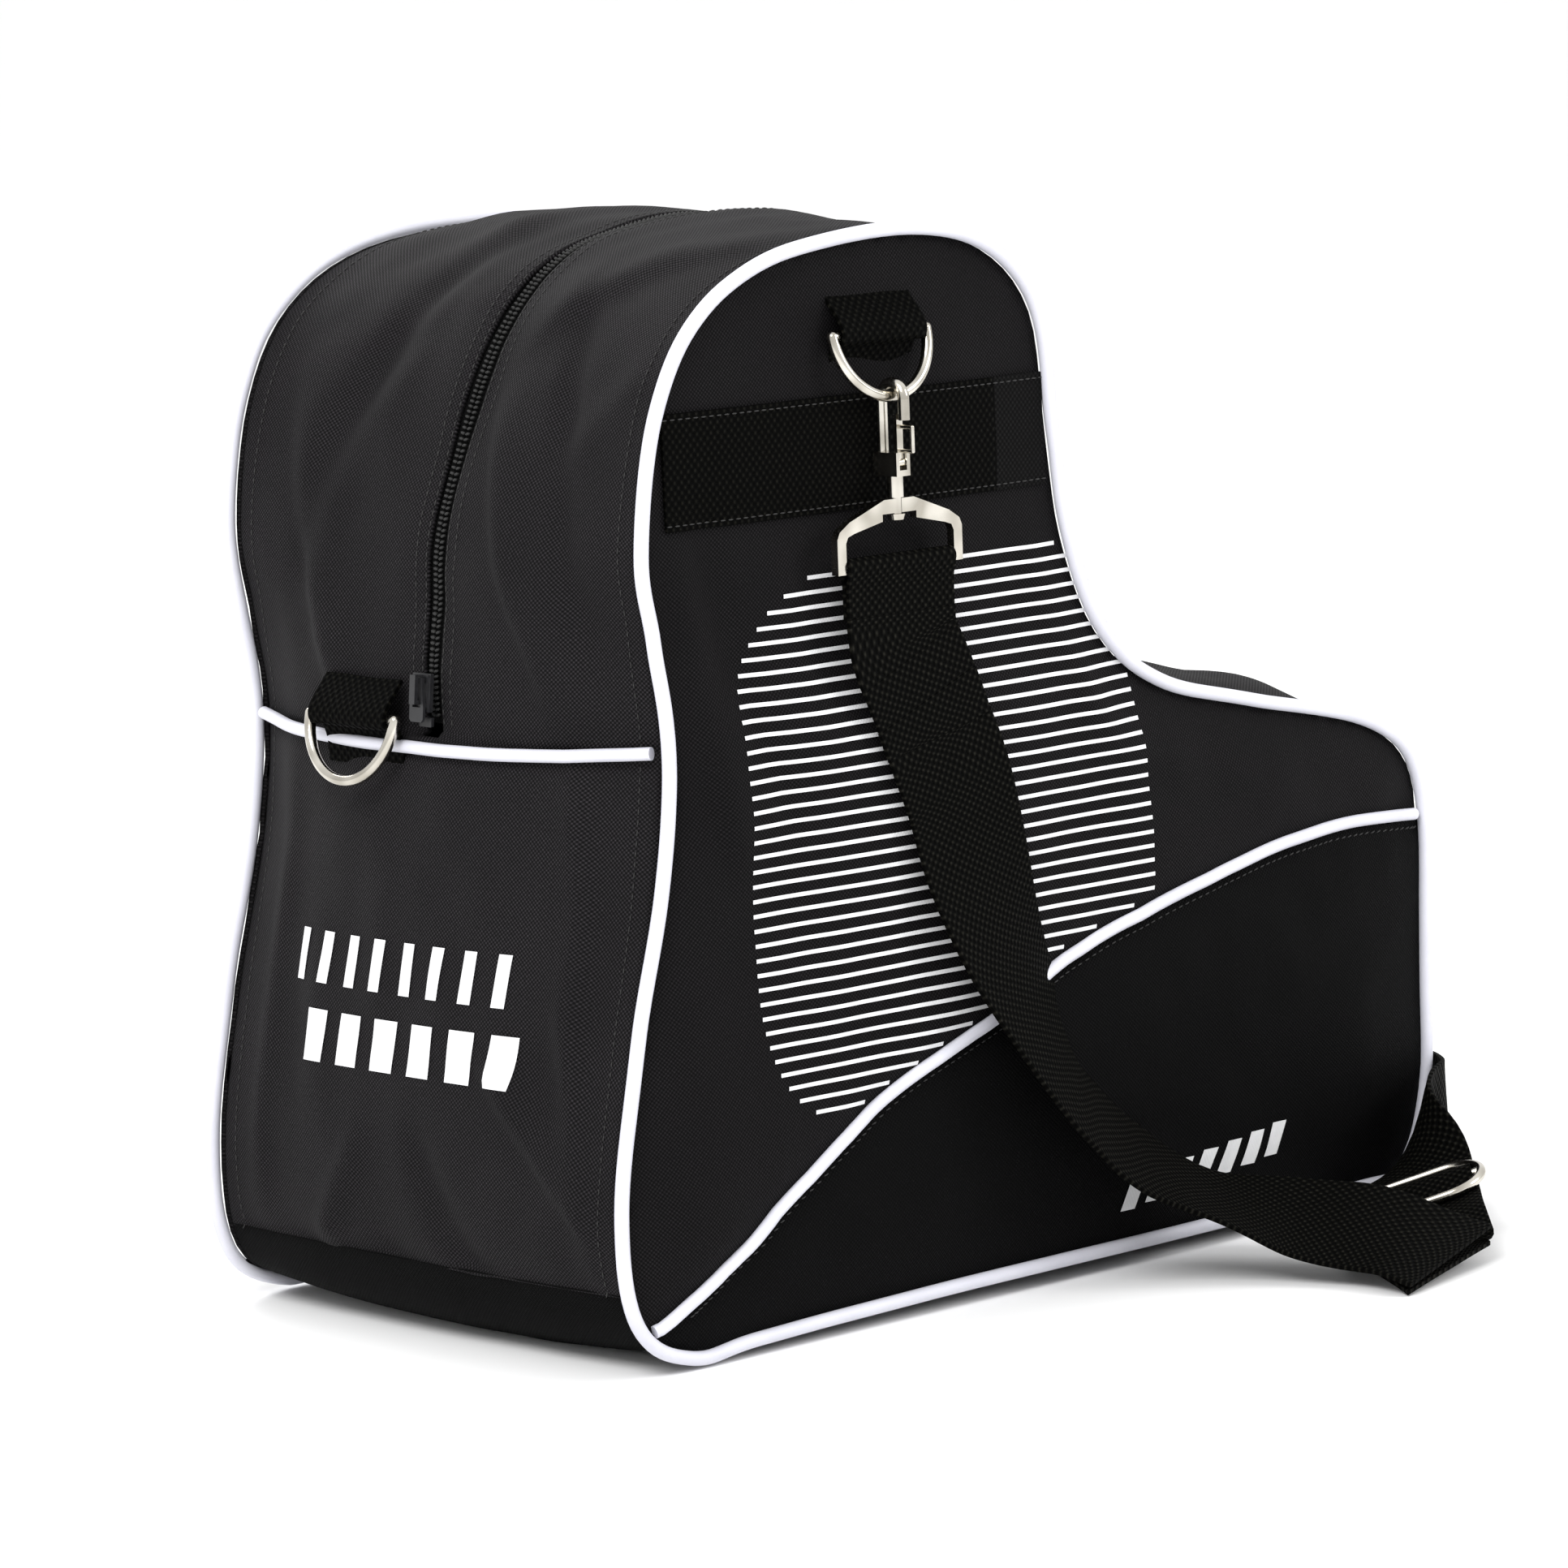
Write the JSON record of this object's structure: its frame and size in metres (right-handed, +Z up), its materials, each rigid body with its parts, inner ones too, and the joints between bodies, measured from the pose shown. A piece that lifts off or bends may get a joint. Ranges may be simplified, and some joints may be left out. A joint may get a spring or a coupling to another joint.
{
  "type": "skate bag",
  "caption": "Boot-shaped skate bag in black woven fabric with white piping, a zip up the heel, D-rings and a hooked shoulder strap.",
  "frame": {"origin": "middle of the bag's own box, at the floor it stands on, without the loose shoulder strap", "axes": "+X towards the toe, +Z up; the near side panel, with the hooked strap in front, faces -Y"},
  "size_m": [0.4371, 0.3568, 0.3797],
  "materials": {
    "fabric": "woven polyester, slight sheen",
    "base_fabric": "woven polyester, dull",
    "piping": "satin vinyl-covered cord",
    "webbing": "coarse polypropylene webbing",
    "nickel": "bright nickel plate",
    "zip_tape": "black coil zip",
    "zip_metal": "black lacquer"
  },
  "bodies": {
    "bag": {"side_panel_near": "fabric", "side_panel_far": "fabric", "heel_panel": "fabric", "upper_gusset_near": "fabric", "upper_gusset_far": "fabric", "toe_gusset": "fabric", "base_panel": "base_fabric", "toe_overlay_near": "fabric", "toe_overlay_far": "fabric", "piping_outline_near": "piping", "piping_outline_far": "piping", "piping_heel": "piping", "piping_overlay_near": "piping", "piping_overlay_far": "piping", "webbing_band_near": "webbing", "webbing_band_far": "webbing", "band_end_patch_near": "fabric", "band_end_patch_far": "fabric", "ring_tab_near": "webbing", "ring_tab_far": "webbing", "ring_tab_heel": "webbing", "zip_tape_near": "zip_tape", "zip_tape_far": "zip_tape", "zip_coil_near": "zip_tape", "zip_coil_far": "zip_tape", "zip_stop_bottom": "zip_tape", "zip_stop_top": "zip_tape", "strap_top_near": "webbing", "strap_top_far": "webbing", "strap_near": "webbing", "strap_far": "webbing"},
    "near_ring": {"d_ring_near": "nickel"},
    "near_hook": {"hook_body_near": "nickel", "gate_pin_near": "nickel", "swivel_rivet_near": "nickel"},
    "near_gate": {"hook_gate_near": "nickel", "gate_lever_near": "nickel"},
    "near_strap_frame": {"strap_frame_near": "nickel", "strap_loop_near": "webbing"},
    "far_ring": {"d_ring_far": "nickel"},
    "far_hook": {"hook_body_far": "nickel", "gate_pin_far": "nickel", "swivel_rivet_far": "nickel"},
    "far_gate": {"hook_gate_far": "nickel", "gate_lever_far": "nickel"},
    "far_strap_frame": {"strap_frame_far": "nickel", "strap_loop_far": "webbing"},
    "heel_ring": {"d_ring_heel": "nickel"},
    "slider": {"zip_slider": "zip_metal"},
    "pull": {"zip_pull": "zip_metal"},
    "triglide_body": {"triglide": "nickel"}
  },
  "joints": [
    {"name": "near_ring_swing", "type": "hinge", "parent": "bag", "child": "near_ring", "pos_m": [-0.0735, -0.111, 0.34], "axis": [-1, 0, 0], "range_deg": [0, 70], "deforming": ["strap_top_near"]},
    {"name": "near_hook_tilt", "type": "hinge", "parent": "near_ring", "child": "near_hook", "pos_m": [-0.0735, -0.11632, 0.31865], "axis": [-1, 0, 0], "range_deg": [0, 45]},
    {"name": "near_gate_open", "type": "hinge", "parent": "near_hook", "child": "near_gate", "pos_m": [-0.0735, -0.11852, 0.29625], "axis": [-1, 0, 0], "range_deg": [0, 13], "stiffness_Nm_per_rad": 0.02, "springref_deg": -17.19},
    {"name": "near_swivel", "type": "hinge", "parent": "near_hook", "child": "near_strap_frame", "pos_m": [-0.0735, -0.11632, 0.28415], "axis": [0, 0, 1], "range_deg": [-15, 15]},
    {"name": "far_ring_swing", "type": "hinge", "parent": "bag", "child": "far_ring", "pos_m": [-0.0735, 0.111, 0.34], "axis": [1, 0, 0], "range_deg": [0, 70], "deforming": ["strap_top_far"]},
    {"name": "far_hook_tilt", "type": "hinge", "parent": "far_ring", "child": "far_hook", "pos_m": [-0.0735, 0.11632, 0.31865], "axis": [1, 0, 0], "range_deg": [0, 45]},
    {"name": "far_gate_open", "type": "hinge", "parent": "far_hook", "child": "far_gate", "pos_m": [-0.0735, 0.11852, 0.29625], "axis": [1, 0, 0], "range_deg": [0, 13], "stiffness_Nm_per_rad": 0.02, "springref_deg": -17.19},
    {"name": "far_swivel", "type": "hinge", "parent": "far_hook", "child": "far_strap_frame", "pos_m": [-0.0735, 0.11632, 0.28415], "axis": [0, 0, 1], "range_deg": [-15, 15]},
    {"name": "heel_ring_swing", "type": "hinge", "parent": "bag", "child": "heel_ring", "pos_m": [-0.1985, 0.024, 0.2145], "axis": [0, 1, 0], "range_deg": [0, 120]},
    {"name": "zip_slide", "type": "slide", "parent": "bag", "child": "slider", "axis": [0.1045, 0, 0.9945], "range_m": [0, 0.05]},
    {"name": "pull_flip", "type": "hinge", "parent": "slider", "child": "pull", "pos_m": [-0.19562, -0.008, 0.22865], "axis": [0, 1, 0], "range_deg": [0, 100]},
    {"name": "triglide_slide", "type": "slide", "parent": "bag", "child": "triglide_body", "axis": [0.6892, 0.7101, 0.1441], "range_m": [-0.01, 0.01]}
  ]
}
